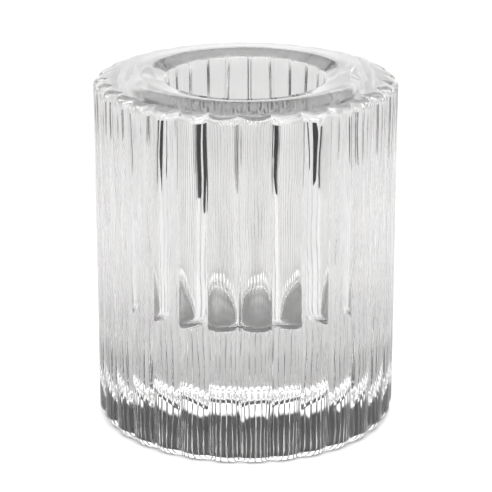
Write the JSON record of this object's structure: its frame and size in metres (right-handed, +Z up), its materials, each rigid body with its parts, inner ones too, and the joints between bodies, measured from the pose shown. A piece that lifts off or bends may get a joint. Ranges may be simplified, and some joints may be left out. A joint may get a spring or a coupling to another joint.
{
  "type": "tealight holder",
  "caption": "Thick clear pressed-glass cylinder with upright rounded ribs, a smooth top ring and a deep round well that takes a tealight.",
  "frame": {"origin": "centre of the base, on the surface that the holder stands on", "axes": "+Z up along the well's axis, -Y towards the viewer"},
  "size_m": [0.078, 0.0778, 0.092],
  "materials": {
    "clear_glass": "clear, fire-polished"
  },
  "bodies": {
    "root": {"ribbed_glass_body": "clear_glass"}
  },
  "joints": []
}
